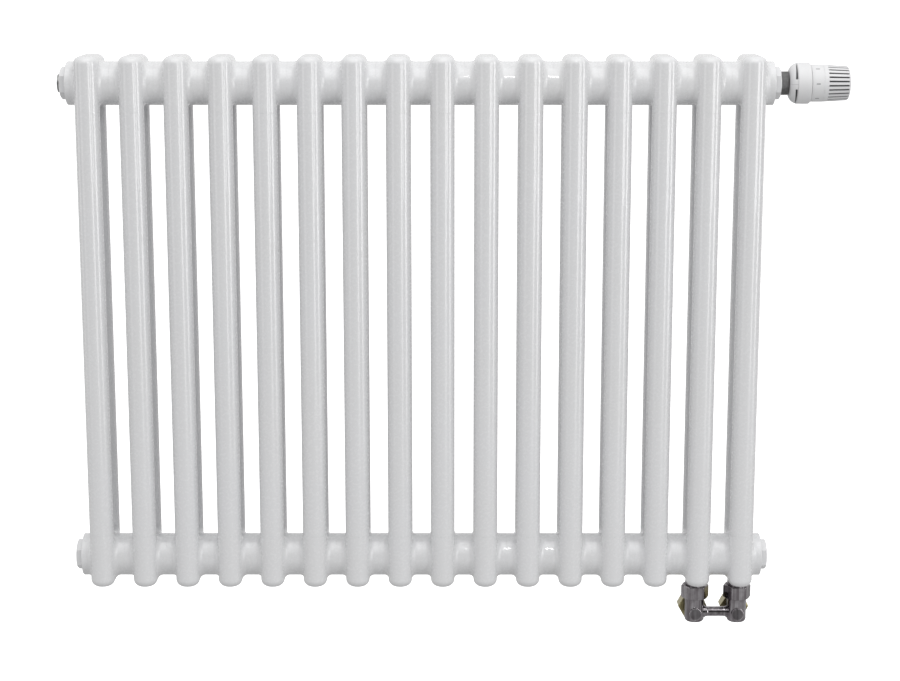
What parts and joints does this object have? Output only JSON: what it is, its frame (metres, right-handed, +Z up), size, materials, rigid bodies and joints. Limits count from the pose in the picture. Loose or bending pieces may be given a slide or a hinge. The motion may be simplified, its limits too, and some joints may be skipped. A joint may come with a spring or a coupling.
{
  "type": "radiator with valve",
  "caption": "Tubular column radiator with domed section heads, a thermostatic valve head on one end and an angled H-block valve under the last sections.",
  "frame": {"origin": "underside of the top header tube at mid-length, where a wall hanger takes the radiator", "axes": "+X along the headers towards the thermostatic head, +Y towards the wall, +Z up"},
  "size_m": [0.8077, 0.0655, 0.6059],
  "materials": {
    "radiator_paint": "gloss white enamel",
    "plug_paint": "gloss white enamel",
    "head_plastic": "satin white plastic",
    "dark_plastic": "dark satin plastic",
    "polished_nickel": "polished nickel plate",
    "satin_nickel": "satin nickel plate",
    "knurled_nickel": "fine knurled nickel plate",
    "olive_brass": "dull nickel-washed brass",
    "brass": "machined brass",
    "spindle_steel": "machined stainless steel",
    "plain_steel": "plain sheet steel",
    "seal_fibre": "pale fibre and rubber seals"
  },
  "bodies": {
    "radiator": {"top_head_01": "radiator_paint", "top_head_02": "radiator_paint", "top_head_03": "radiator_paint", "top_head_04": "radiator_paint", "top_head_05": "radiator_paint", "top_head_06": "radiator_paint", "top_head_07": "radiator_paint", "top_head_08": "radiator_paint", "top_head_09": "radiator_paint", "top_head_10": "radiator_paint", "top_head_11": "radiator_paint", "top_head_12": "radiator_paint", "top_head_13": "radiator_paint", "top_head_14": "radiator_paint", "top_head_15": "radiator_paint", "top_head_16": "radiator_paint", "bottom_head_01": "radiator_paint", "bottom_head_02": "radiator_paint", "bottom_head_03": "radiator_paint", "bottom_head_04": "radiator_paint", "bottom_head_05": "radiator_paint", "bottom_head_06": "radiator_paint", "bottom_head_07": "radiator_paint", "bottom_head_08": "radiator_paint", "bottom_head_09": "radiator_paint", "bottom_head_10": "radiator_paint", "bottom_head_11": "radiator_paint", "bottom_head_12": "radiator_paint", "bottom_head_13": "radiator_paint", "bottom_head_14": "radiator_paint", "bottom_head_15": "radiator_paint", "bottom_head_16": "radiator_paint", "front_tubes": "radiator_paint", "rear_tubes": "radiator_paint", "end_bosses": "radiator_paint", "blind_plugs": "plug_paint", "vent_plug": "plug_paint", "valve_bush": "plug_paint", "vent_boss": "satin_nickel", "seals": "seal_fibre", "header_discs": "plain_steel", "valve_insert": "knurled_nickel", "return_spring": "spindle_steel", "head_collar": "head_plastic", "head_base": "head_plastic", "head_union_nut": "brass", "connection_nipples": "polished_nickel", "hblock_union_nuts": "polished_nickel", "hblock_supply_body": "polished_nickel", "hblock_return_body": "polished_nickel", "hblock_bridge": "polished_nickel", "pipe_nuts": "olive_brass"},
    "handwheel": {"handwheel": "head_plastic"},
    "sensor": {"sensor": "dark_plastic"},
    "valve_spindle": {"valve_spindle": "spindle_steel"},
    "vent_screw": {"vent_screw": "satin_nickel"},
    "supply_cap": {"shutoff_cap_supply": "polished_nickel"},
    "return_cap": {"shutoff_cap_return": "polished_nickel"},
    "supply_stem": {"shutoff_stem_supply": "brass"},
    "return_stem": {"shutoff_stem_return": "brass"}
  },
  "joints": [
    {"name": "handwheel_turn", "type": "hinge", "parent": "radiator", "child": "handwheel", "pos_m": [0.41, 0, 0.02225], "axis": [1, 0, 0], "range_deg": [-156, 104]},
    {"name": "sensor_travel", "type": "slide", "parent": "radiator", "child": "sensor", "axis": [1, 0, 0], "range_m": [-0.00107, 0.00071]},
    {"name": "spindle_travel", "type": "slide", "parent": "radiator", "child": "valve_spindle", "axis": [1, 0, 0], "range_m": [-0.00107, 0.00071], "deforming": ["return_spring"]},
    {"name": "vent_screw_turn", "type": "hinge", "parent": "radiator", "child": "vent_screw", "pos_m": [-0.37, 0, 0.02225], "axis": [-1, 0, 0], "range_deg": [0, 360]},
    {"name": "supply_cap_off", "type": "slide", "parent": "radiator", "child": "supply_cap", "axis": [0, -1, 0], "range_m": [0, 0.025]},
    {"name": "return_cap_off", "type": "slide", "parent": "radiator", "child": "return_cap", "axis": [0, -1, 0], "range_m": [0, 0.025]},
    {"name": "supply_shutoff_turn", "type": "hinge", "parent": "radiator", "child": "supply_stem", "pos_m": [0.3375, 0, -0.54175], "axis": [0, 1, 0], "range_deg": [0, 90]},
    {"name": "return_shutoff_turn", "type": "hinge", "parent": "radiator", "child": "return_stem", "pos_m": [0.2925, 0, -0.54175], "axis": [0, 1, 0], "range_deg": [0, 90]}
  ],
  "couplings": [
    {"joint": "sensor_travel", "follows": "handwheel_turn", "m_per_rad": 0.00039},
    {"joint": "spindle_travel", "follows": "handwheel_turn", "m_per_rad": 0.00039}
  ]
}
